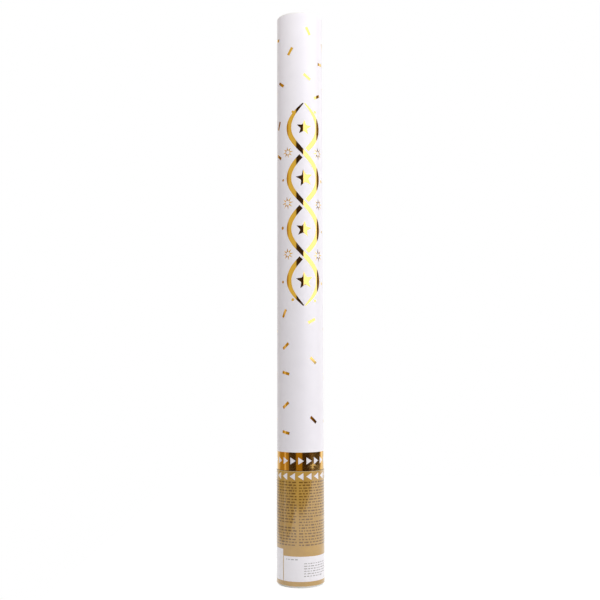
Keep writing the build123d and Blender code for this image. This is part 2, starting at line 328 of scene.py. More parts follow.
class PopperSizes(bpy.types.PropertyGroup):
    """Sizes of the paper, the print and the confetti."""

    ring_segments: setting("Ring segments", "Facets round each tube", 192, min=48, max=512)
    seam_gap: setting("Seam gap", "Butt gap at the back of each wrap", 0.25 * MM, **LENGTH)
    film: setting("Film", "Thickness of printed foil and ink", 0.04 * MM, **LENGTH)
    arrow_count: setting("Arrows", "Arrows in each ring", 18, min=3, max=60)
    arrow_length: setting("Arrow length", "Arrow from back to tip", 5.8 * MM, **LENGTH)
    arrow_breadth: setting("Arrow breadth", "Arrow across its back", 7.2 * MM, **LENGTH)
    band_arrow_height: setting("Band arrows", "Height of the band's arrows", 127.4 * MM, **LENGTH)
    handle_arrow_height: setting("Handle arrows", "Height of the handle's arrows", 111.7 * MM, **LENGTH)
    band_arrow_start: setting("Band start", "Bearing of the band's first arrow", math.radians(1.7), **ANGLE)
    handle_arrow_start: setting(
        "Handle start", "Bearing of the handle's first arrow", math.radians(0.4), **ANGLE
    )
    stick_length: setting("Stick length", "Printed confetti stick", 9.2 * MM, **LENGTH)
    stick_breadth: setting("Stick breadth", "Printed confetti stick across", 3.0 * MM, **LENGTH)
    streamer_breadth: setting("Streamer breadth", "Printed streamer across", 4.6 * MM, **LENGTH)
    row_height: setting("Row height", "Height of a printed bar", 1.3 * MM, **LENGTH)
    slip_count: setting("Slips", "Paper slips in one bundle", 26, min=4, max=80)
    slip_caliper: setting("Slip caliper", "Drawn thickness of one slip", 0.22 * MM, **LENGTH)


class PopperColours(bpy.types.PropertyGroup):
    """Colours of the finishes."""

    laminate: setting("Laminate", "White barrel paper", linear("F2EEF4"), **COLOUR)
    gold: setting("Gold", "Stamped foil", linear("E8C97E"), **COLOUR)
    band_gold: setting("Band gold", "Metallised band paper", linear("E3B96E"), **COLOUR)
    tan: setting("Tan", "Handle paper", linear("BF9546"), **COLOUR)
    row_ink: setting("Row ink", "Brown bars on the handle", linear("694812"), **COLOUR)
    white_ink: setting("White ink", "Arrows and label", linear("F1EDF2"), **COLOUR)
    cap: setting("Cap", "Moulded base cap", linear("F0F0EE"), **COLOUR)


class PopperStage(bpy.types.PropertyGroup):
    """Camera, lamps, room and floor."""

    distance: setting("Distance", "Camera in front of the popper", 935.5 * MM, **LENGTH)
    eye_height: setting("Eye height", "Camera above the floor", 219.0 * MM, **LENGTH)
    rise: setting("Rise", "How far the camera looks up", math.radians(4.613), **ANGLE)
    lean: setting("Lean", "Camera roll", math.radians(-0.14), **ANGLE)
    lens: setting("Lens", "Focal length for a 36 mm square frame", 52.9, unit="CAMERA")
    key_power: setting("Key", "Large soft box, front right", 12.1, **POWER)
    strip_power: setting("Strip", "Narrow soft box, left", 0.6, **POWER)
    side_power: setting("Side", "Upright soft box, right", 1.1, **POWER)
    top_power: setting("Top", "Small soft box, above", 1.25, **POWER)
    back_power: setting("Back", "Soft box behind, for the far side alone", 8.0, **POWER)
    room_light: setting("Room", "Even light from the room", 0.54, min=0, max=2)
    floor_reach: setting(
        "Floor",
        "How far the pale floor reaches left, front, right and back",
        (0.25, 0.5, 0.98, 0.9),
        size=4,
        unit="LENGTH",
    )


# Nodes and meshes

def feed(tree, node, inputs):
    """Fills or links a node's inputs, by name or in turn. A node stands for its first live output."""
    for key, value in inputs.items() if isinstance(inputs, dict) else enumerate(inputs):
        for source in value if isinstance(value, list) else [value]:
            if isinstance(source, bpy.types.Node):
                source = next(socket for socket in source.outputs if socket.enabled)
            if isinstance(source, bpy.types.NodeSocket):
                tree.links.new(source, node.inputs[key])
            else:
                node.inputs[key].default_value = source


def add(tree, kind, inputs=(), **settings):
    """Adds one node with its settings and what feeds it."""
    node = tree.nodes.new(kind)
    for name, value in settings.items():
        setattr(node, name, value)
    feed(tree, node, inputs)
    return node


def geometry_tree(name, lengths, counts=(), materials=()):
    """Starts a node tree with named inputs and returns it with its input sockets."""
    tree = bpy.data.node_groups.new(name, "GeometryNodeTree")
    for way in ("INPUT", "OUTPUT"):
        tree.interface.new_socket("Geometry", in_out=way, socket_type="NodeSocketGeometry")
    for kind, labels in (("Float", lengths), ("Int", counts), ("Material", materials)):
        for label in labels:
            tree.interface.new_socket(label, in_out="INPUT", socket_type="NodeSocket" + kind)
    return tree, add(tree, "NodeGroupInput").outputs


def shared(name, maker):
    """Returns the node tree of this name, making it the first time."""
    return bpy.data.node_groups.get(name) or maker(name)


def grow(tree, values, mesh=None):
    """Runs a node tree on a mesh and returns the outcome as a plain mesh."""
    seed = bpy.data.objects.new("seed", mesh or bpy.data.meshes.new("empty"))
    bpy.context.scene.collection.objects.link(seed)
    modifier = seed.modifiers.new("grow", "NODES")
    modifier.node_group = tree
    for item in tree.interface.items_tree:
        if item.in_out == "INPUT" and item.name in values:
            modifier[item.identifier] = values[item.name]
    shown = seed.evaluated_get(bpy.context.evaluated_depsgraph_get())
    grown = bpy.data.meshes.new_from_object(shown)
    bpy.data.objects.remove(seed)
    if not grown.polygons:
        raise RuntimeError("the tree " + tree.name + " made nothing")
    return grown


def link_piece(name, mesh, body, replaced=()):
    """Shows a finished mesh as a piece that rides on a body."""
    mesh.name = name
    mesh.polygons.foreach_set("use_smooth", [True] * len(mesh.polygons))
    mesh.set_sharp_from_angle(angle=SHARP_ANGLE)
    piece = bpy.data.objects.new(name, mesh)
    bpy.context.scene.collection.objects.link(piece)
    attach(piece, body)
    if replaced:
        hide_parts(*replaced)
    return piece


def flat_mesh(verts, faces=()):
    """A mesh of points or faces that lie flat."""
    mesh = bpy.data.meshes.new("flat")
    mesh.from_pydata(verts, [], faces)
    return mesh


def turned(profile, segments, closed, wobble=None):
    """Turns a profile of radius and height pairs about the axis into a closed mesh."""
    work = bmesh.new()
    rings = []
    for radius, height in profile:
        if radius < AXIS_REACH:
            rings.append([work.verts.new((0.0, 0.0, height))])
            continue
        ring = []
        for step in range(segments):
            angle = math.tau * step / segments
            level = height + (wobble(radius, height, angle) if wobble else 0.0)
            ring.append(work.verts.new((radius * math.cos(angle), radius * math.sin(angle), level)))
        rings.append(ring)
    pairs = list(zip(rings, rings[1:]))
    if closed:
        pairs.append((rings[-1], rings[0]))
    for low, high in pairs:
        for step in range(segments):
            after = (step + 1) % segments
            corners = [low[step % len(low)], low[after % len(low)]]
            corners += [high[after % len(high)], high[step % len(high)]]
            work.faces.new(list(dict.fromkeys(corners)))
    bmesh.ops.recalc_face_normals(work, faces=work.faces)
    mesh = bpy.data.meshes.new("turned")
    work.to_mesh(mesh)
    work.free()
    return mesh


def ring_profile(inner, outer, foot, top, round_over):
    """Section of a tube with softened outer and inner edges."""
    corners = (
        (outer - round_over, foot + round_over, -90),
        (outer - round_over, top - round_over, 0),
        (inner + round_over, top - round_over, 90),
        (inner + round_over, foot + round_over, 180),
    )
    profile = []
    for radius, height, start in corners:
        for step in range(ROUND_STEPS + 1):
            angle = math.radians(start + 90 * step / ROUND_STEPS)
            profile.append((radius + round_over * math.cos(angle), height + round_over * math.sin(angle)))
    return profile


# Node trees. Print is laid out flat, with x round the tube, y up it and z out of it, and then rolled

def film_tree(name):
    """Gives a flat face a thickness and closes it."""
    tree, given = geometry_tree(name, ["Thickness"])
    flat = given["Geometry"]
    sizes = {"Mesh": flat, "Offset Scale": given["Thickness"], "Individual": False}
    raised = add(tree, "GeometryNodeExtrudeMesh", sizes, mode="FACES")
    under = add(tree, "GeometryNodeFlipFaces", [flat])
    both = add(tree, "GeometryNodeJoinGeometry", {0: [raised, under]})
    closed = add(tree, "GeometryNodeMergeByDistance", {"Geometry": both, "Distance": WELD})
    add(tree, OUTPUT, [closed])
    return tree


def roll_tree(name):
    """Rolls a flat sheet round a tube, with x = 0 at the front."""
    tree, given = geometry_tree(name, ["Tube radius"])
    flat = add(tree, SPLIT, [add(tree, POSITION)])
    reach = add(tree, MATH, [given["Tube radius"], flat.outputs["Z"]], operation="ADD")
    angle = add(tree, MATH, [flat.outputs["X"], given["Tube radius"]], operation="DIVIDE")
    across = add(tree, MATH, [angle], operation="SINE")
    ahead = add(tree, MATH, [angle], operation="COSINE")
    side = add(tree, MATH, [across, reach], operation="MULTIPLY")
    front = add(tree, MATH, [ahead, reach], operation="MULTIPLY")
    back = add(tree, MATH, [front, -1.0], operation="MULTIPLY")
    place = add(tree, JOIN, [side, back, flat.outputs["Y"]])
    rolled = add(tree, SET_POSITION, {"Geometry": given["Geometry"], "Position": place})
    add(tree, OUTPUT, [rolled])
    return tree


def thickened(tree, flat, thickness):
    """Uses the shared group that gives a flat face a thickness."""
    return add(tree, GROUP, {0: flat, "Thickness": thickness}, node_tree=shared("Film", film_tree))


def finish_tree(tree, given, shape, material):
    """Ends a tree with plain geometry in one material, rolled first where the tree has a tube."""
    if "Tube radius" in given:
        flat = add(tree, REALIZE, [shape])
        roll = {0: flat, "Tube radius": given["Tube radius"]}
        shape = add(tree, GROUP, roll, node_tree=shared("Roll", roll_tree))
    plain = add(tree, REALIZE, [shape])
    painted = add(tree, SET_MATERIAL, {"Geometry": plain, "Material": given[material]})
    add(tree, OUTPUT, [painted])
    return tree


def sheet_tree(name):
    """A rectangular paper sheet, creased near its foot and rolled into a tube that butts at the back."""
    sizes = ["Sheet width", "Sheet height", "Foot height", "Caliper", "Tube radius", "Crease depth"]
    tree, given = geometry_tree(name, sizes, ["Columns", "Rows"], ["Paper"])
    grid = add(tree, GRID, [given["Sheet width"], given["Sheet height"], given["Columns"], given["Rows"]])
    half = add(tree, MATH, [given["Sheet height"], 0.5, given["Foot height"]], operation="MULTIPLY_ADD")
    moved = add(tree, SET_POSITION, {"Geometry": grid, "Offset": add(tree, JOIN, {"Y": half})})
    thick = thickened(tree, moved, given["Caliper"])
    spot = add(tree, POSITION)
    flat = add(tree, SPLIT, [spot])
    grain = {"Vector": spot, "W": CREASE_SEED, "Scale": per_metre(CREASE_SIZE), "Detail": 3.0}
    noise = add(tree, NOISE, grain, noise_dimensions="4D")
    patch = add(tree, RANGE, {"Value": noise, "From Min": CREASE_FROM, "From Max": CREASE_FULL})
    up = add(tree, MATH, [flat.outputs["Y"], given["Foot height"]], operation="SUBTRACT")
    fade = {"From Min": CREASE_START, "From Max": CREASE_END, "To Min": 1.0, "To Max": 0.0}
    rubbed = add(tree, RANGE, {"Value": up, **fade})
    depth = add(tree, MATH, [flat.outputs["Z"], given["Caliper"]], operation="DIVIDE")
    for factor in (patch, rubbed, given["Crease depth"], -1.0):
        depth = add(tree, MATH, [depth, factor], operation="MULTIPLY")
    creased = add(tree, SET_POSITION, {"Geometry": thick, "Offset": add(tree, JOIN, {"Z": depth})})
    return finish_tree(tree, given, creased, "Paper")


def arrow_tree(name):
    """One ring of equal triangles printed round a tube."""
    sizes = ["Arrow length", "Arrow breadth", "Row height", "Start", "Turn", "Film", "Tube radius"]
    tree, given = geometry_tree(name, sizes, ["Count"], ["Ink"])
    triangle = add(tree, DISC, {"Vertices": 3, "Radius": 1.0}, fill_type="NGON")
    long = add(tree, MATH, [given["Arrow length"], TRIANGLE_LENGTH], operation="DIVIDE")
    broad = add(tree, MATH, [given["Arrow breadth"], TRIANGLE_BREADTH], operation="DIVIDE")
    scale = add(tree, JOIN, [long, broad, 1.0])
    back = add(tree, MATH, [given["Arrow length"], -TRIANGLE_CENTRE], operation="MULTIPLY")
    shift = add(tree, JOIN, {"X": back})
    sized = add(tree, TRANSFORM, {"Geometry": triangle, "Translation": shift, "Scale": scale})
    fine = add(tree, SUBDIVIDE, {"Mesh": sized, "Level": ARROW_LEVEL})
    arrow = thickened(tree, fine, given["Film"])
    way = add(tree, MATH, [given["Tube radius"], math.tau], operation="MULTIPLY")
    pitch = add(tree, MATH, [way, given["Count"]], operation="DIVIDE")
    first = add(tree, MATH, [given["Start"], given["Tube radius"]], operation="MULTIPLY")
    start = add(tree, JOIN, {"X": first, "Y": given["Row height"]})
    step = add(tree, JOIN, {"X": pitch})
    row = add(tree, LINE, {"Count": given["Count"], "Start Location": start, "Offset": step})
    facing = add(tree, EULER, [add(tree, JOIN, {"Z": given["Turn"]})])
    arrows = add(tree, INSTANCES, {"Points": row, "Instance": arrow, "Rotation": facing})
    return finish_tree(tree, given, arrows, "Ink")


def mark_tree(name):
    """Marks of one outline at points that carry tilt, length and breadth, rolled onto a tube."""
    tree, given = geometry_tree(name, ["Film", "Tube radius"], [], ["Ink"])
    outline = name.split()[0]
    if outline in GRID_MARKS:
        columns, rows = GRID_MARKS[outline]
        flat = add(tree, GRID, {"Vertices X": columns, "Vertices Y": rows})
    elif outline in DISC_MARKS:
        corners, level = DISC_MARKS[outline]
        face = add(tree, DISC, {"Vertices": corners, "Radius": 1.0}, fill_type="NGON")
        flat = add(tree, SUBDIVIDE, {"Mesh": face, "Level": level})
    else:
        star = {"Points": STAR_POINTS, "Inner Radius": STAR_INNER, "Outer Radius": 1.0}
        face = add(tree, "GeometryNodeFillCurve", [add(tree, "GeometryNodeCurveStar", star)], mode="NGONS")
        flat = add(tree, SUBDIVIDE, {"Mesh": face, "Level": STAR_LEVEL})
    mark = thickened(tree, flat, given["Film"])
    tilt, length, breadth = [add(tree, ATTRIBUTE, {"Name": label}) for label in MARK_VALUES]
    facing = add(tree, EULER, [add(tree, JOIN, {"Z": tilt})])
    scale = add(tree, JOIN, [length, breadth, 1.0])
    spots = {"Points": given["Geometry"], "Instance": mark, "Rotation": facing, "Scale": scale}
    return finish_tree(tree, given, add(tree, INSTANCES, spots), "Ink")


def art_tree(name):
    """Flat artwork given a film's thickness and rolled onto a tube."""
    tree, given = geometry_tree(name, ["Film", "Tube radius"], [], ["Ink"])
    return finish_tree(tree, given, thickened(tree, given["Geometry"], given["Film"]), "Ink")


def coil_tree(name):
    """A round wire wound on a steady helix."""
    sizes = ["Wire radius", "Coil radius", "Coil height", "Foot height"]
    tree, given = geometry_tree(name, sizes, ["Turns"], ["Wire"])
    path = add(
        tree,
        "GeometryNodeCurveSpiral",
        {
            "Resolution": COIL_STEPS,
            "Rotations": given["Turns"],
            "Start Radius": given["Coil radius"],
            "End Radius": given["Coil radius"],
            "Height": given["Coil height"],
        },
    )
    section = {"Resolution": WIRE_SIDES, "Radius": given["Wire radius"]}
    section = add(tree, "GeometryNodeCurvePrimitiveCircle", section)
    wire = add(tree, "GeometryNodeCurveToMesh", {"Curve": path, "Profile Curve": section, "Fill Caps": True})
    lift = add(tree, JOIN, {"Z": given["Foot height"]})
    return finish_tree(tree, given, add(tree, SET_POSITION, {"Geometry": wire, "Offset": lift}), "Wire")


def slip_tree(name):
    """Bundles of upright paper slips at points that carry a turn, with foil slips mixed in."""
    sizes = ["Slip width", "Slip length", "Caliper", "Stack depth", "Slide", "Sway", "Foil share"]
    tree, given = geometry_tree(name, sizes, ["Slips", "Seed"], ["Tissue", "Foil"])
    spaces = add(tree, MATH, [given["Slips"], 1.0], operation="SUBTRACT")
    pitch = add(tree, MATH, [given["Stack depth"], spaces], operation="DIVIDE")
    back = add(tree, MATH, [given["Stack depth"], -0.5], operation="MULTIPLY")
    start = add(tree, JOIN, {"Y": back})
    step = add(tree, JOIN, {"Y": pitch})
    line = add(tree, LINE, {"Count": given["Slips"], "Start Location": start, "Offset": step})
    turn = add(tree, ATTRIBUTE, {"Name": "turn"})
    upright = add(tree, EULER, [add(tree, JOIN, {"Z": turn})])
    stacks = add(tree, INSTANCES, {"Points": given["Geometry"], "Instance": line, "Rotation": upright})
    spots = add(tree, REALIZE, [stacks])
    drawn = {}
    for later, label in enumerate(("Slide", "Sway")):
        less = add(tree, MATH, [given[label], -1.0], operation="MULTIPLY")
        seed = add(tree, MATH, [given["Seed"], later], operation="ADD")
        drawn[label] = add(tree, RANDOM, {"Min": less, "Max": given[label], "Seed": seed}, data_type="FLOAT")
    slide = add(tree, JOIN, {"Z": drawn["Slide"]})
    moved = add(tree, SET_POSITION, {"Geometry": spots, "Offset": slide})
    swung = add(tree, MATH, [turn, drawn["Sway"]], operation="ADD")
    facing = add(tree, EULER, [add(tree, JOIN, {"Z": swung})])
    grid = {"Size X": given["Slip width"], "Size Y": given["Slip length"], "Vertices X": 2, "Vertices Y": 3}
    flat = thickened(tree, add(tree, GRID, grid), given["Caliper"])
    standing = add(tree, TRANSFORM, {"Geometry": flat, "Rotation": (math.pi / 2, 0.0, 0.0)})
    slips = add(tree, INSTANCES, {"Points": moved, "Instance": standing, "Rotation": facing})
    share = {"Probability": given["Foil share"], "Seed": given["Seed"]}
    chosen = add(tree, RANDOM, share, data_type="BOOLEAN")
    mark = {"Geometry": slips, "Name": "foil", "Value": chosen}
    marked = add(tree, "GeometryNodeStoreNamedAttribute", mark, data_type="BOOLEAN", domain="INSTANCE")
    plain = add(tree, REALIZE, [marked])
    tissue = add(tree, SET_MATERIAL, {"Geometry": plain, "Material": given["Tissue"]})
    is_foil = add(tree, ATTRIBUTE, {"Name": "foil"}, data_type="BOOLEAN")
    both = add(tree, SET_MATERIAL, {"Geometry": tissue, "Selection": is_foil, "Material": given["Foil"]})
    add(tree, OUTPUT, [both])
    return tree


# Finishes. A tone is an sRGB hex value or the name of a colour setting, and roughness runs from low to high.
# Fibres, mould texture and tool marks are too fine to show in a render, so they are drawn several times
# coarser

def shade(tone):
    """Turns a tone into linear values."""
    colours = bpy.context.scene.popper_colours
    return tuple(getattr(colours, tone)) if hasattr(colours, tone) else linear(tone)


def surface(tree, shader, tone, mottle, roughness, relief, strength, depth, own=None):
    """Ends a finish with its colour, gloss from one pattern, and relief in millimetres from another."""
    gloss = add(tree, RANGE, {"Value": mottle, "To Min": roughness[0], "To Max": roughness[1]})
    bump = add(tree, BUMP, {"Strength": strength, "Distance": depth * MM, "Height": relief})
    feed(tree, shader, {"Base Color": tone, "Roughness": gloss, "Normal": bump, **(own or {})})


def rim_wear(tree, place, low, high, grain):
    """A mask that is full at two heights and breaks up a short way from them."""
    height = add(tree, SPLIT, [place]).outputs["Z"]
    gaps = [add(tree, MATH, [height, level], operation="SUBTRACT") for level in (low, high)]
    offs = [add(tree, MATH, [gap], operation="ABSOLUTE") for gap in gaps]
    nearest = add(tree, MATH, offs, operation="MINIMUM")
    noise = add(tree, NOISE, {"Vector": place, "Scale": per_metre(grain), "Detail": 3.0})
    edge = add(tree, RANGE, {"Value": nearest, "From Max": WEAR_REACH, "To Min": 1.0, "To Max": 0.0})
    rough = add(tree, MATH, [edge, noise], operation="ADD")
    return add(tree, RANGE, {"Value": rough, "From Min": WEAR_START, "From Max": WEAR_FULL})


def film_laminated_paper(tree, shader, place):
    # Coated art paper under a gloss film, rolled and glued. It is a cool white with a broad soft shine, a
    # faint clouding from the board beneath, and a dull fibre edge where it was cut
    cloud = add(tree, NOISE, {"Vector": place, "Scale": per_metre(16), "Detail": 3.0})
    peel = add(tree, NOISE, {"Vector": place, "Scale": per_metre(1.1), "Detail": 2.0})
    tint = add(tree, MIX, {"Factor": cloud, "A": shade("laminate"), "B": shade("EBE7ED")}, data_type="RGBA")
    worn = rim_wear(tree, place, WRAP_LOW.z, WRAP_HIGH.z, 0.5)
    paper = add(tree, MIX, {"Factor": worn, "A": tint, "B": shade("F4F2EE")}, data_type="RGBA")
    surface(tree, shader, paper, cloud, (0.30, 0.40), peel, strength=0.10, depth=0.02)


def hot_stamped_foil(tree, shader, place):
    # Aluminised gold film pressed on hot. It mirrors the room in sharp bands, and follows the paper's peel a
    # little
    peel = add(tree, NOISE, {"Vector": place, "Scale": per_metre(1.6), "Detail": 2.0})
    tone = add(tree, MIX, {"Factor": peel, "A": shade("gold"), "B": shade("E2BF72")}, data_type="RGBA")
    surface(tree, shader, tone, peel, (0.04, 0.10), peel, strength=0.10, depth=0.02, own=METAL)


def metallised_paper(tree, shader, place):
    # Vacuum-metallised paper with a gold lacquer, rolled tight. It is a deeper gold than the stamped foil,
    # with long upright ripples from the rolling
    upright = add(tree, "ShaderNodeMapping", {"Vector": place, "Scale": (1.0, 1.0, 0.12)})
    ripple = add(tree, NOISE, {"Vector": upright, "Scale": per_metre(3.0), "Detail": 2.0})
    grain = add(tree, NOISE, {"Vector": place, "Scale": per_metre(0.5), "Detail": 2.0})
    tone = add(tree, MIX, {"Factor": grain, "A": shade("band_gold"), "B": shade("D9AC5E")}, data_type="RGBA")
    surface(tree, shader, tone, grain, (0.07, 0.16), ripple, strength=0.10, depth=0.05, own=METAL)


def tan_laminated_paper(tree, shader, place):
    # Paper printed all over in a flat tan under a clear film, rolled and glued. The film mirrors the floor
    # and the white behind it faintly, fibres show through as fine mottling, and the cut edges have rubbed
    # to pale paper
    cloud = add(tree, NOISE, {"Vector": place, "Scale": per_metre(11), "Detail": 4.0})
    fibre = add(tree, NOISE, {"Vector": place, "Scale": per_metre(0.8), "Detail": 4.0})
    depth = add(tree, MATH, [cloud, fibre], operation="MULTIPLY")
    spread = add(tree, RANGE, {"Value": depth, "From Min": 0.12, "From Max": 0.40})
    tone = add(tree, MIX, {"Factor": spread, "A": shade("tan"), "B": shade("B38A3F")}, data_type="RGBA")
    worn = rim_wear(tree, place, SLEEVE_LOW.z, SLEEVE_HIGH.z, 0.6)
    paper = add(tree, MIX, {"Factor": worn, "A": tone, "B": shade("D9C39A")}, data_type="RGBA")
    surface(tree, shader, paper, fibre, (0.28, 0.44), fibre, strength=0.12, depth=0.02, own=CLEAR_FILM)


def spiral_wound_board(tree, shader, place):
    # Grey-brown board wound in a spiral from narrow strips. The rim shows the plies as rings, the bore shows
    # the strips' edges as slanting lines, and fibres speckle both
    ply_size = 0.5
    strip_size = 62
    x, y, z = add(tree, SPLIT, [place]).outputs
    squared = add(tree, MATH, [x, x], operation="MULTIPLY")
    summed = add(tree, MATH, [y, y, squared], operation="MULTIPLY_ADD")
    radius = add(tree, MATH, [summed], operation="SQRT")
    plies = add(tree, MATH, [radius, per_metre(ply_size)], operation="MULTIPLY")
    ply = add(tree, MATH, [plies, 1.0], operation="PINGPONG")
    bearing = add(tree, MATH, [y, x], operation="ARCTAN2")
    turns = add(tree, MATH, [bearing, 1 / math.tau], operation="MULTIPLY")
    strips = add(tree, MATH, [z, per_metre(strip_size), turns], operation="MULTIPLY_ADD")
    strip = add(tree, MATH, [strips], operation="FRACT")
    seam = add(tree, RANGE, {"Value": strip, "From Max": 0.02, "To Min": 0.75, "To Max": 0.0})
    fibre = add(tree, NOISE, {"Vector": place, "Scale": per_metre(0.7), "Detail": 5.0})
    tone = add(tree, MIX, {"Factor": fibre, "A": shade("C4AF8C"), "B": shade("A08864")}, data_type="RGBA")
    ringed = add(tree, RANGE, {"Value": ply, "From Min": 0.7, "To Max": 0.35})
    lined = add(tree, MATH, [ringed, seam], operation="MAXIMUM")
    board = add(tree, MIX, {"Factor": lined, "A": tone, "B": shade("7C6748")}, data_type="RGBA")
    surface(tree, shader, board, fibre, (0.75, 0.92), fibre, strength=0.3, depth=0.05)


def cell_foam(tree, shader, place):
    # Closed-cell polyethylene foam, sliced, so cut cells pit its face
    cells = add(tree, "ShaderNodeTexVoronoi", {"Vector": place, "Scale": per_metre(0.9)})
    tone = add(tree, MIX, {"Factor": cells, "A": shade("F4F4F1"), "B": shade("DBDBD6")}, data_type="RGBA")
    surface(tree, shader, tone, cells, (0.6, 0.85), cells, strength=0.5, depth=0.2)


def printed_ink(tree, shader, place, deep, light, grain, roughness):
    """An ink under the clear film, which lets a little of the paper's fibre through."""
    fibre = add(tree, NOISE, {"Vector": place, "Scale": per_metre(grain), "Detail": 3.0})
    tone = add(tree, MIX, {"Factor": fibre, "A": shade(deep), "B": shade(light)}, data_type="RGBA")
    gloss = add(tree, RANGE, {"Value": fibre, "To Min": roughness[0], "To Max": roughness[1]})
    feed(tree, shader, {"Base Color": tone, "Roughness": gloss, **CLEAR_FILM})


def grained(tree, shader, place, light, dark, grain, roughness, depth, stretch=1.0, own=None):
    """A finish with one grain in its colour, gloss and relief, and the shader's own settings."""
    drawn = add(tree, "ShaderNodeMapping", {"Vector": place, "Scale": (1.0, 1.0, stretch)})
    noise = add(tree, NOISE, {"Vector": drawn, "Scale": per_metre(grain), "Detail": 4.0})
    tone = add(tree, MIX, {"Factor": noise, "A": shade(light), "B": shade(dark)}, data_type="RGBA")
    surface(tree, shader, tone, noise, roughness, noise, GRAIN_STRENGTH, depth, own)


# Every finish and its recipe. Inks give their tones, grain in millimetres and roughness. Grained finishes
# add their depth in millimetres, how often the grain repeats up the piece for once across it, and shader
# settings

FINISHES = {
    "film_laminated_paper": (film_laminated_paper,),
    "hot_stamped_foil": (hot_stamped_foil,),
    "metallised_paper": (metallised_paper,),
    "tan_laminated_paper": (tan_laminated_paper,),
    "spiral_wound_board": (spiral_wound_board,),
    "cell_foam": (cell_foam,),
    # Screened white ink, thick enough to hide what it covers, with a satin skin
    "opaque_white_ink": (printed_ink, "white_ink", "E9E5EA", 0.9, (0.38, 0.5)),
    # Thin offset ink over the tan, so fibres lighten it in places
    "brown_offset_ink": (printed_ink, "row_ink", "7A5820", 0.6, (0.35, 0.45)),
    # A light screen of black on the white panel, which reads as soft grey
    "grey_offset_ink": (printed_ink, "918D8C", "A5A1A0", 0.6, (0.48, 0.58)),
    # Injection-moulded white polypropylene. The tool's fine spark texture gives it a waxy, even sheen
    "moulded_polypropylene": (
        grained, "cap", "E4E4E1", 0.7, (0.32, 0.46), 0.02, 1.0,
        {"IOR": 1.49, "Subsurface Weight": 0.1, "Subsurface Scale": 1.0 * MM},
    ),
    # Moulded nylon with short glass fibres, which float to the skin as pale flecks
    "glass_filled_nylon": (grained, "84878A", "6C6F73", 0.5, (0.42, 0.6), 0.03),
    # Stretch-blown bottle plastic: smooth, glossy and slightly grey, drawn out along its length
    "blown_pet": (grained, "D5DEDF", "C3CED1", 4.0, (0.06, 0.14), 0.02, 0.2, {"IOR": 1.575}),
    # Pressed black nitrile, dull with a fine bloom
    "nitrile_rubber": (grained, "1D1D1E", "2C2B2B", 0.6, (0.55, 0.75), 0.02),
    # Drawn and oiled steel wire, with fine lines along the draw
    "drawn_spring_steel": (grained, "B9BBBD", "9A9C9F", 0.4, (0.2, 0.34), 0.01, 6.0, METAL),
    # Brass turned from bar, with fine rings from the tool
    "turned_brass": (grained, "D8B765", "BF9A47", 0.4, (0.2, 0.36), 0.01, 8.0, METAL),
    # Pressed recycled board with dark and pale fibres
    "grey_board": (grained, "B5AC9C", "8F8676", 0.6, (0.8, 0.95), 0.06),
    # Thin unglazed tissue, soft white with cloudy fibre formation
    "tissue_paper": (grained, "F6F2EA", "E6DFD2", 1.6, (0.7, 0.88), 0.04),
    # Cut gold polyester foil with light creases from packing
    "foil_slip": (grained, "gold", "CFA24C", 5.0, (0.12, 0.28), 0.12, 1.0, METAL),
    # Card faced with gold foil and pressed into a cup, so fine wrinkles gather towards the edge
    "foil_faced_card": (grained, "gold", "D2A650", 2.2, (0.16, 0.32), 0.08, 1.0, METAL),
}


def finish(name):
    """Returns the material of this name, making it the first time."""
    material = bpy.data.materials.get(name)
    if material is None:
        material = bpy.data.materials.new(name)
        material.use_nodes = True
        tree = material.node_tree
        place = add(tree, "ShaderNodeTexCoord").outputs["Object"]
        recipe, *values = FINISHES[name]
        recipe(tree, tree.nodes["Principled BSDF"], place, *values)
    return material


# Pieces

def board_tube(name, node, body, bore, low, high, round_over):
    """One board tube with rounded rims."""
    profile = ring_profile(bore, high.x, low.z, high.z, round_over)
    board = turned(profile, bpy.context.scene.popper_sizes.ring_segments, True)
    board.materials.append(finish("spiral_wound_board"))
    link_piece(name, board, body, [node])


def rolled_wrap(name, node, top, body, paper, caliper, radius, rows, crease=0.0):
    """One paper wrap rolled from its node's foot up to a height."""
    sizes = bpy.context.scene.popper_sizes
    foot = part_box(node)[0].z
    values = {
        "Sheet width": math.tau * radius - sizes.seam_gap,
        "Sheet height": top - foot,
        "Foot height": foot,
        "Caliper": caliper,
        "Tube radius": radius,
        "Crease depth": crease,
        "Columns": sizes.ring_segments + 1,
        "Rows": rows,
        "Paper": finish(paper),
    }
    link_piece(name, grow(shared("Rolled sheet", sheet_tree), values), body, [node])


def printed(name, tree, mesh, radius, ink, body, slot):
    """Flat print rolled onto a tube."""
    values = {"Film": bpy.context.scene.popper_sizes.film, "Tube radius": radius, "Ink": finish(ink)}
    link_piece(name, grow(tree, values, mesh), body)


def printed_marks(name, outline, places, radius, ink, body, slot):
    """Marks at places of arc, height, tilt, length and breadth on a tube."""
    mesh = flat_mesh([(place[0], place[1], 0.0) for place in places])
    for index, label in enumerate(MARK_VALUES, 2):
        values = [place[index] for place in places]
        mesh.attributes.new(label, "FLOAT", "POINT").data.foreach_set("value", values)
    printed(name, shared(outline + " marks", mark_tree), mesh, radius, ink, body, slot)


def arrow_ring(name, height, start, turn, radius, body):
    """One ring of arrows on a tube."""
    sizes = bpy.context.scene.popper_sizes
    values = {
        "Arrow length": sizes.arrow_length,
        "Arrow breadth": sizes.arrow_breadth,
        "Row height": height,
        "Start": start,
        "Turn": turn,
        "Film": sizes.film,
        "Tube radius": radius,
        "Count": sizes.arrow_count,
        "Ink": finish("opaque_white_ink"),
    }
    link_piece(name, grow(shared("Arrow ring", arrow_tree), values), body)


def on_barrel(bearing, height, tilt, length, breadth):
    """A mark's place on the barrel's sheet, from degrees and millimetres."""
    return WRAP_HIGH.x * math.radians(bearing), height * MM, math.radians(tilt), length, breadth


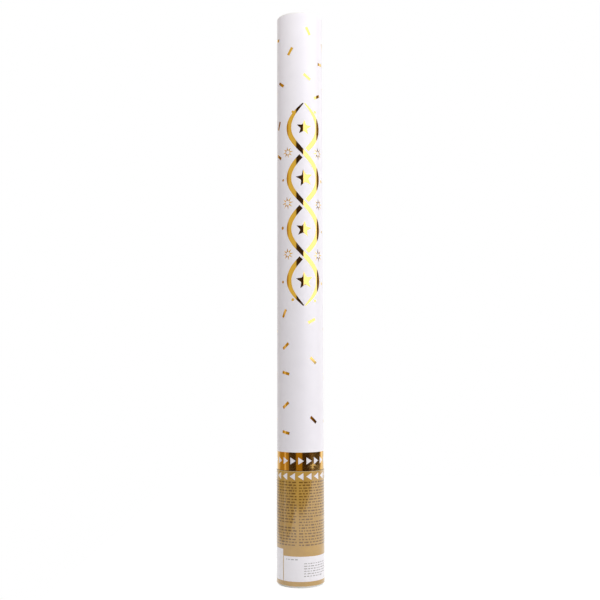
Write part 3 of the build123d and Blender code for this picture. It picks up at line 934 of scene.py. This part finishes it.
def burst_rays(bearing, height, size):
    """Places of the rays of one burst."""
    inner = size * RAY_INNER_SHARE
    length = (size - inner) / TRIANGLE_LENGTH
    reach = (inner + length / 2) * MM
    rays = []
    for ray in range(RAYS_PER_BURST):
        angle = 360 * ray / RAYS_PER_BURST + RAY_TURN
        arc, up, tilt, long, broad = on_barrel(bearing, height, angle, length * MM, RAY_BREADTH)
        rays.append((arc + reach * math.cos(tilt), up + reach * math.sin(tilt), tilt, long, broad))
    return rays


def twine_strips():
    """Ends of two streamers that twine, each broken where it passes under the other."""
    crossings = range(1, round((TWINE_TOP - TWINE_FOOT) / TWINE_WAVE))
    strips = []
    for side in (1, -1):
        under = [TWINE_FOOT + n * TWINE_WAVE for n in crossings if (n % 2 == 0) == (side > 0)]
        feet = [TWINE_FOOT + TWINE_TIP] + [level + TWINE_BREAK for level in under]
        tops = [level - TWINE_BREAK for level in under] + [TWINE_TOP - TWINE_TIP]
        strips += [(side, foot, top) for foot, top in zip(feet, tops)]
    return strips


def strip_faces(first, rows, lanes):
    """Faces between points that are laid out in rows, from the first point on."""
    corners = [first + (lanes + 1) * row + lane for row in range(rows) for lane in range(lanes)]
    return [(corner, corner + 1, corner + lanes + 2, corner + lanes + 1) for corner in corners]


def streamer_mesh(breadth):
    """Flat streamers on the sheet, thinned to a point at the outer ends."""
    lanes = TWINE_LANES
    verts = []
    faces = []
    for turn in HALF_TURNS:
        middle = WRAP_HIGH.x * math.radians(turn + TWINE_MIDDLE)
        for side, foot, top in twine_strips():
            steps = round((top - foot) * TWINE_STEPS_PER_MM)
            first = len(verts)
            for step in range(steps + 1):
                height = foot + (top - foot) * step / steps
                phase = math.pi * (height - TWINE_FOOT) / TWINE_WAVE
                x = side * TWINE_SWING * math.sin(phase)
                slope = side * TWINE_SWING * math.pi / TWINE_WAVE * math.cos(phase)
                to_end = min(height - TWINE_FOOT, TWINE_TOP - height) + TWINE_BLUNT
                ends = min(to_end, TWINE_TAPER) / TWINE_TAPER
                half = 0.5 * breadth * ends ** 0.5 * (1.0 + TWINE_SWELL * abs(math.sin(phase)))
                level = 1.0 / math.hypot(1.0, slope)
                for lane in range(lanes + 1):
                    off = half * level * (2 * lane / lanes - 1)
                    verts.append((middle + x * MM + off, height * MM - off * slope, 0.0))
            faces += strip_faces(first, steps, lanes)
    return flat_mesh(verts, faces)


def bar_rows(draw, start, end, top, count, pitch, radius, height, bars):
    """Rows of bars of uneven length between two bearings."""
    places = []
    for row in range(count):
        level = (top - row * pitch) * MM
        arc = radius * math.radians(start)
        last = radius * math.radians(end)
        if draw.random() < SHORT_ROW_CHANCE:
            last = arc + (last - arc) * draw.uniform(*SHORT_ROW_SHARES)
        while arc < last:
            length = min(draw.uniform(*bars) * MM, last - arc)
            places.append((arc + length / 2, level, 0.0, length, height * draw.uniform(*BAR_HEIGHTS)))
            arc += length + draw.uniform(*BAR_GAPS) * MM
    return [place for place in places if place[3] > LEAST_BAR]


def panel_mesh(radius):
    """Flat white panels of the handle's label."""
    verts = []
    faces = []
    for start, end, top in LABEL_SPANS:
        columns = round((end - start) / LABEL_STEP)
        bearings = [start + (end - start) * column / columns for column in range(columns + 1)]
        faces += strip_faces(len(verts), 1, columns)
        for level in (LABEL_FOOT, top):
            verts += [(radius * math.radians(bearing), level * MM, 0.0) for bearing in bearings]
    return flat_mesh(verts, faces)


def lid_profile():
    """Section of the muzzle cup, from the middle of its face out, down its skirt and back inside."""
    outer = PLUG_HIGH.x
    top = PLUG_HIGH.z
    flat = outer - LID_BEND
    under = top - LID_WALL - LID_DISH
    profile = [(0.0, top - LID_DISH)]
    for ring in range(1, LID_RINGS + 1):
        share = ring / LID_RINGS
        profile.append((flat * share, top - LID_DISH * (1.0 - share ** 2)))
    for step in range(1, LID_BEND_STEPS + 1):
        angle = math.radians(90 - 90 * step / LID_BEND_STEPS)
        profile.append((flat + LID_BEND * math.cos(angle), top - LID_BEND + LID_BEND * math.sin(angle)))
    for share in LID_SKIRT_SHARES:
        profile.append((outer, top - LID_BEND - share * (top - LID_BEND - PLUG_LOW.z)))
    return profile + [(outer - LID_WALL, PLUG_LOW.z), (outer - LID_WALL, under), (0.0, under)]


def lid_pressing(radius, height, angle):
    """Change in height that pressing gives the muzzle cup's face at a place."""
    if height < PLUG_HIGH.z - LID_WALL:
        return 0.0
    edge = max(0.0, (radius / PLUG_HIGH.x - LID_PLEAT_START) / (1.0 - LID_PLEAT_START))
    drift = LID_PLEAT_DRIFT * math.sin(LID_PLEAT_DRIFTS * angle)
    pleat = edge * LID_PLEAT_DEPTH * (0.5 + 0.5 * math.sin(LID_PLEATS * angle + drift))
    off_ring = min(1.0, abs(radius - LID_RING_RADIUS) / LID_RING_WIDTH)
    ring = LID_RING_DEPTH * math.cos(off_ring * math.pi / 2) ** 2
    spoke = math.tau / LID_CREASES
    off_crease = radius * abs(math.sin((angle + spoke / 2) % spoke - spoke / 2))
    crease = LID_CREASE_DEPTH * max(0.0, 1.0 - off_crease / LID_CREASE_WIDTH)
    inside = 1.0 if radius < LID_RING_RADIUS else 0.0
    return -pleat - ring - inside * crease


class POPPER_OT_moulded_parts(bpy.types.Operator):
    """Finishes the cap and the parts held inside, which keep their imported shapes"""

    bl_idname = "popper.moulded_parts"
    bl_label = "Moulded and inner parts"

    def execute(self, context):
        finishes = {
            "moulded_polypropylene": ("base_cap", "thrust_washer"),
            "glass_filled_nylon": ("breech", "stopper"),
            "blown_pet": ("air_bottle",),
            "nitrile_rubber": ("neck_o_ring", "stopper_o_ring", "fill_valve_gasket"),
            "drawn_spring_steel": ("circlip", "cross_pin", "fill_valve_ball"),
            "turned_brass": ("fill_valve_body", "fill_valve_nut", "fill_valve_retainer"),
            "grey_board": ("pusher_wad", "cover_disc"),
            "cell_foam": ("foam_pad",),
        }
        for name, nodes in finishes.items():
            for node in nodes:
                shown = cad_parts[node].data
                shown.materials.clear()
                shown.materials.append(finish(name))
        return {"FINISHED"}


class POPPER_OT_barrel_paper(bpy.types.Operator):
    """Rolls the barrel's board tube, its white wrap and its gold band"""

    bl_idname = "popper.barrel_paper"
    bl_label = "Barrel paper"

    def execute(self, context):
        board_tube(
            "barrel_board", "barrel_tube", "barrel", BARREL_BORE, BARREL_LOW, BARREL_HIGH, BARREL_ROUND
        )
        radius = BARREL_HIGH.x
        caliper = WRAP_HIGH.x - radius
        rolled_wrap(
            "barrel_white_wrap", "barrel_wrap", BARREL_HIGH.z - WRAP_TRIM, "barrel",
            "film_laminated_paper", caliper, radius, WRAP_ROWS,
        )
        rolled_wrap(
            "barrel_gold_band", "foil_band", BAND_HIGH.z, "barrel",
            "metallised_paper", caliper, radius, BAND_ROWS, CREASE_DEPTH,
        )
        return {"FINISHED"}


class POPPER_OT_barrel_foil(bpy.types.Operator):
    """Stamps the barrel's gold sticks, streamers, stars, bursts and dots"""

    bl_idname = "popper.barrel_foil"
    bl_label = "Barrel foil"

    def execute(self, context):
        sizes = context.scene.popper_sizes
        stick = (sizes.stick_length, sizes.stick_breadth)
        sticks, stars, rays, dots = [], [], [], []
        for turn in HALF_TURNS:
            sticks += [on_barrel(bearing + turn, up, tilt, *stick) for bearing, up, tilt in CONFETTI_STICKS]
            for bearing, up, size, tilt in STAR_SPOTS:
                stars.append(on_barrel(bearing + turn, up, 90 + tilt, size * MM, size * MM))
            for bearing, up, size in BURST_SPOTS:
                rays += burst_rays(bearing + turn, up, size)
            for bearing, up, size in DOT_SPOTS:
                dots.append(on_barrel(bearing + turn, up, 0, size * MM, size * MM))
        foil = (WRAP_HIGH.x, "hot_stamped_foil", "barrel", "gold_foil")
        printed_marks("barrel_foil_sticks", "Stick", sticks, *foil)
        printed_marks("barrel_foil_stars", "Star", stars, *foil)
        printed_marks("barrel_foil_bursts", "Ray", rays, *foil)
        printed_marks("barrel_foil_dots", "Dot", dots, *foil)
        streamers = streamer_mesh(sizes.streamer_breadth)
        printed("barrel_foil_streamers", shared("Rolled art", art_tree), streamers, *foil)
        return {"FINISHED"}


class POPPER_OT_handle_paper(bpy.types.Operator):
    """Rolls the handle's board tube and its tan wrap"""

    bl_idname = "popper.handle_paper"
    bl_label = "Handle paper"

    def execute(self, context):
        board_tube("handle_board", "handle_tube", "handle", GRIP_BORE, GRIP_LOW, GRIP_HIGH, GRIP_ROUND)
        caliper = SLEEVE_HIGH.x - GRIP_HIGH.x - 2 * context.scene.popper_sizes.film
        rolled_wrap(
            "handle_tan_wrap", "handle_wrap", SLEEVE_HIGH.z, "handle",
            "tan_laminated_paper", caliper, GRIP_HIGH.x, SLEEVE_ROWS,
        )
        return {"FINISHED"}


class POPPER_OT_handle_print(bpy.types.Operator):
    """Prints the handle's rows of small bars and its white label"""

    bl_idname = "popper.handle_print"
    bl_label = "Handle print"

    def execute(self, context):
        sizes = context.scene.popper_sizes
        radius = SLEEVE_HIGH.x - 2 * sizes.film
        ride = ("handle", "handle_print")
        draw = random.Random(PRINT_SEED)
        rows = []
        for column in range(COLUMN_COUNT):
            start = COLUMN_START + column * 360 / COLUMN_COUNT
            end = start + 360 / COLUMN_COUNT - COLUMN_GAP
            rows += bar_rows(
                draw, start, end, ROW_TOP, ROW_COUNT, ROW_PITCH, radius, sizes.row_height, ROW_BARS
            )
        bars = []
        for start, end, top, count in LABEL_BLOCKS:
            bars += bar_rows(
                draw, start, end, top, count, LABEL_ROW_PITCH, radius, LABEL_ROW_HEIGHT, LABEL_BARS
            )
        printed_marks("handle_rows", "Bar", rows, radius, "brown_offset_ink", *ride)
        label = panel_mesh(radius)
        printed("handle_label", shared("Rolled art", art_tree), label, radius, "opaque_white_ink", *ride)
        printed_marks("handle_label_rows", "Bar", bars, radius + sizes.film, "grey_offset_ink", *ride)
        return {"FINISHED"}


class POPPER_OT_arrow_rings(bpy.types.Operator):
    """Prints the two rings of arrows that show which way each half turns"""

    bl_idname = "popper.arrow_rings"
    bl_label = "Arrow rings"

    def execute(self, context):
        sizes = context.scene.popper_sizes
        height, start = sizes.band_arrow_height, sizes.band_arrow_start
        arrow_ring("barrel_arrows", height, start, 0.0, BAND_HIGH.x, "barrel")
        height, start = sizes.handle_arrow_height, sizes.handle_arrow_start
        radius = SLEEVE_HIGH.x - 2 * sizes.film
        arrow_ring("handle_arrows", height, start, math.pi, radius, "handle")
        return {"FINISHED"}


class POPPER_OT_muzzle_lid(bpy.types.Operator):
    """Presses the foil-faced cup that closes the muzzle"""

    bl_idname = "popper.muzzle_lid"
    bl_label = "Muzzle lid"

    def execute(self, context):
        cup = turned(lid_profile(), 2 * context.scene.popper_sizes.ring_segments, False, lid_pressing)
        cup.materials.append(finish("foil_faced_card"))
        link_piece("muzzle_foil_cup", cup, "charge", ["muzzle_plug"])
        return {"FINISHED"}


class POPPER_OT_confetti(bpy.types.Operator):
    """Stacks the paper slips of each confetti tier"""

    bl_idname = "popper.confetti"
    bl_label = "Confetti"

    def execute(self, context):
        sizes = context.scene.popper_sizes
        for index, node in enumerate(TIERS):
            low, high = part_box(node)
            room = (high.x - low.x) / 2
            offset = room / 2
            middle = (low.z + high.z) / 2
            mesh = flat_mesh([(x * offset, y * offset, middle) for x in (-1, 1) for y in (-1, 1)])
            turns = [0.0, math.pi / 2, math.pi / 2, 0.0]
            mesh.attributes.new("turn", "FLOAT", "POINT").data.foreach_set("value", turns)
            values = {
                "Slip width": room - SLIP_SIDE_ROOM,
                "Slip length": high.z - low.z - 2 * SLIP_SLIDE - SLIP_END_ROOM,
                "Caliper": sizes.slip_caliper,
                "Stack depth": room - SLIP_SIDE_ROOM,
                "Slide": SLIP_SLIDE,
                "Sway": SLIP_SWAY,
                "Foil share": FOIL_SHARE,
                "Slips": sizes.slip_count,
                "Seed": FIRST_SEED + SEED_STEP * index,
                "Tissue": finish("tissue_paper"),
                "Foil": finish("foil_slip"),
            }
            slips = grow(shared("Slip bundles", slip_tree), values, mesh)
            link_piece("slips_" + node, slips, "charge", [node])
        return {"FINISHED"}


class POPPER_OT_valve_spring(bpy.types.Operator):
    """Winds the filling valve's spring as one fixed coil. The real spring shortens as the ball lifts"""

    bl_idname = "popper.valve_spring"
    bl_label = "Valve spring"

    def execute(self, context):
        low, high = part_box("fill_valve_spring")
        values = {
            "Wire radius": WIRE_RADIUS,
            "Coil radius": high.y - WIRE_RADIUS,
            "Coil height": high.z - low.z - 2 * WIRE_RADIUS,
            "Foot height": low.z + WIRE_RADIUS,
            "Turns": COIL_TURNS,
            "Wire": finish("drawn_spring_steel"),
        }
        coil = grow(shared("Coil", coil_tree), values)
        spring = link_piece("valve_coil", coil, "handle", ["fill_valve_spring"])
        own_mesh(spring)
        return {"FINISHED"}


class POPPER_OT_stage(bpy.types.Operator):
    """Sets the pale floor, the soft boxes, the room and the camera"""

    bl_idname = "popper.stage"
    bl_label = "Stage"

    def execute(self, context):
        stage = context.scene.popper_stage
        self.lay_floor(context, *stage.floor_reach)
        for name, *place in SOFT_BOXES:
            self.hang_box(context, name + "_box", getattr(stage, name + "_power"), *place)
        self.light_room(context, stage.room_light)
        lens = bpy.data.cameras.new("photo_camera")
        lens.lens = stage.lens
        lens.sensor_width = FRAME_WIDTH
        lens.clip_start = NEAREST_VIEW
        camera = bpy.data.objects.new("photo_camera", lens)
        camera.location = (0.0, -stage.distance, stage.eye_height)
        camera.rotation_mode = "ZXY"
        camera.rotation_euler = (math.pi / 2 + stage.rise, 0.0, stage.lean)
        context.scene.collection.objects.link(camera)
        context.scene.camera = camera
        context.scene.view_settings.view_transform = "Standard"
        return {"FINISHED"}

    def lay_floor(self, context, left, front, right, back):
        """Lays a white painted board, which the camera and mirrors see as white with a soft shadow."""
        corners = [(-left, -front, 0), (right, -front, 0), (right, back, 0), (-left, back, 0)]
        board = flat_mesh(corners, [range(4)])
        board.name = "floor"
        material = bpy.data.materials.new("painted_board")
        material.use_nodes = True
        tree = material.node_tree
        tree.nodes.clear()
        path = add(tree, "ShaderNodeLightPath").outputs
        paint = add(tree, "ShaderNodeBsdfDiffuse", {"Color": linear("EDEDED")})
        veil = add(tree, "ShaderNodeBsdfDiffuse", {"Color": FLOOR_VEIL})
        glow = add(tree, "ShaderNodeEmission", {"Color": linear(WHITE), "Strength": FLOOR_GLOW})
        seen = add(tree, "ShaderNodeAddShader", [veil, glow])
        mirrored = add(tree, MATH, [path["Is Glossy Ray"], path["Is Transmission Ray"]], operation="MAXIMUM")
        looked_at = add(tree, MATH, [path["Is Camera Ray"], mirrored], operation="MAXIMUM")
        shown = add(tree, "ShaderNodeMixShader", [looked_at, paint, seen])
        add(tree, "ShaderNodeOutputMaterial", [shown])
        board.materials.append(material)
        floor = bpy.data.objects.new("floor", board)
        context.scene.collection.objects.link(floor)

    def hang_box(self, context, name, power, bearing, distance, height, width, tall, dip, mirrored):
        """Hangs one soft box that faces the popper's axis."""
        turn = math.radians(bearing)
        lamp = bpy.data.lights.new(name, "AREA")
        lamp.shape = "RECTANGLE"
        lamp.size = width
        lamp.size_y = tall
        lamp.energy = power
        box = bpy.data.objects.new(name, lamp)
        box.location = (distance * math.sin(turn), -distance * math.cos(turn), height)
        box.rotation_euler = (math.pi / 2 - math.radians(dip), 0.0, turn)
        box.visible_camera = False
        box.visible_glossy = mirrored
        context.scene.collection.objects.link(box)

    def room_ring(self, tree, turn, shades):
        """One ring of the room as a colour ramp round it."""
        ring = add(tree, "ShaderNodeValToRGB", [turn])
        stops = ring.color_ramp.elements
        for index, (degrees, colour) in enumerate(shades):
            share = (degrees + 180) / 360
            stop = stops[index] if index < 2 else stops.new(share)
            stop.position = share
            stop.color = linear(colour)
        return ring

    def light_room(self, context, strength):
        """Lights the scene evenly, with white for the camera and the room's rings for what mirrors it."""
        world = bpy.data.worlds.new("studio")
        world.use_nodes = True
        tree = world.node_tree
        tree.nodes.clear()
        x, y, z = add(tree, SPLIT, [add(tree, "ShaderNodeTexCoord").outputs["Generated"]]).outputs
        ahead = add(tree, MATH, [y, -1.0], operation="MULTIPLY")
        bearing = add(tree, MATH, [x, ahead], operation="ARCTAN2")
        turn = add(tree, RANGE, {"Value": bearing, "From Min": -math.pi, "From Max": math.pi})
        around = self.room_ring(tree, turn, GROUND_ROOM)
        for shades, start, end in ROOM_RINGS:
            ring = self.room_ring(tree, turn, shades)
            above = add(tree, RANGE, {"Value": z, "From Min": start, "From Max": end})
            around = add(tree, MIX, {"Factor": above, "A": around, "B": ring}, data_type="RGBA")
        path = add(tree, "ShaderNodeLightPath").outputs
        mirrored = add(tree, MATH, [path["Is Glossy Ray"], path["Is Transmission Ray"]], operation="MAXIMUM")
        even = add(tree, "ShaderNodeBackground", [linear(WHITE), strength])
        room = add(tree, "ShaderNodeBackground", [around, 1.0])
        white = add(tree, "ShaderNodeBackground", [linear(WHITE), 1.0])
        lit = add(tree, "ShaderNodeMixShader", [mirrored, even, room])
        seen = add(tree, "ShaderNodeMixShader", [path["Is Camera Ray"], lit, white])
        add(tree, "ShaderNodeOutputWorld", [seen])
        context.scene.world = world


OPERATORS = (
    POPPER_OT_moulded_parts,
    POPPER_OT_barrel_paper,
    POPPER_OT_barrel_foil,
    POPPER_OT_handle_paper,
    POPPER_OT_handle_print,
    POPPER_OT_arrow_rings,
    POPPER_OT_muzzle_lid,
    POPPER_OT_confetti,
    POPPER_OT_valve_spring,
    POPPER_OT_stage,
)


SETTINGS = {"popper_sizes": PopperSizes, "popper_colours": PopperColours, "popper_stage": PopperStage}


class POPPER_PT_sidebar(bpy.types.Panel):
    """Lists the popper's settings and operators"""

    bl_idname = "POPPER_PT_sidebar"
    bl_label = "Confetti popper"
    bl_space_type = "VIEW_3D"
    bl_region_type = "UI"
    bl_category = "Popper"

    def draw(self, context):
        for operator in OPERATORS:
            self.layout.operator(operator.bl_idname)
        for label, group in SETTINGS.items():
            box = self.layout.box()
            for name in group.__annotations__:
                box.prop(getattr(context.scene, label), name)


CLASSES = (*SETTINGS.values(), *OPERATORS, POPPER_PT_sidebar)


def register():
    for entry in CLASSES:
        bpy.utils.register_class(entry)
    for label, group in SETTINGS.items():
        setattr(bpy.types.Scene, label, bpy.props.PointerProperty(type=group))


def unregister():
    for label in SETTINGS:
        delattr(bpy.types.Scene, label)
    for entry in reversed(CLASSES):
        bpy.utils.unregister_class(entry)


def main():
    register()
    bpy.ops.popper.moulded_parts()
    bpy.ops.popper.barrel_paper()
    bpy.ops.popper.barrel_foil()
    bpy.ops.popper.handle_paper()
    bpy.ops.popper.handle_print()
    bpy.ops.popper.arrow_rings()
    bpy.ops.popper.muzzle_lid()
    bpy.ops.popper.confetti()
    bpy.ops.popper.valve_spring()
    bpy.ops.popper.stage()


if __name__ == "__main__":
    main()
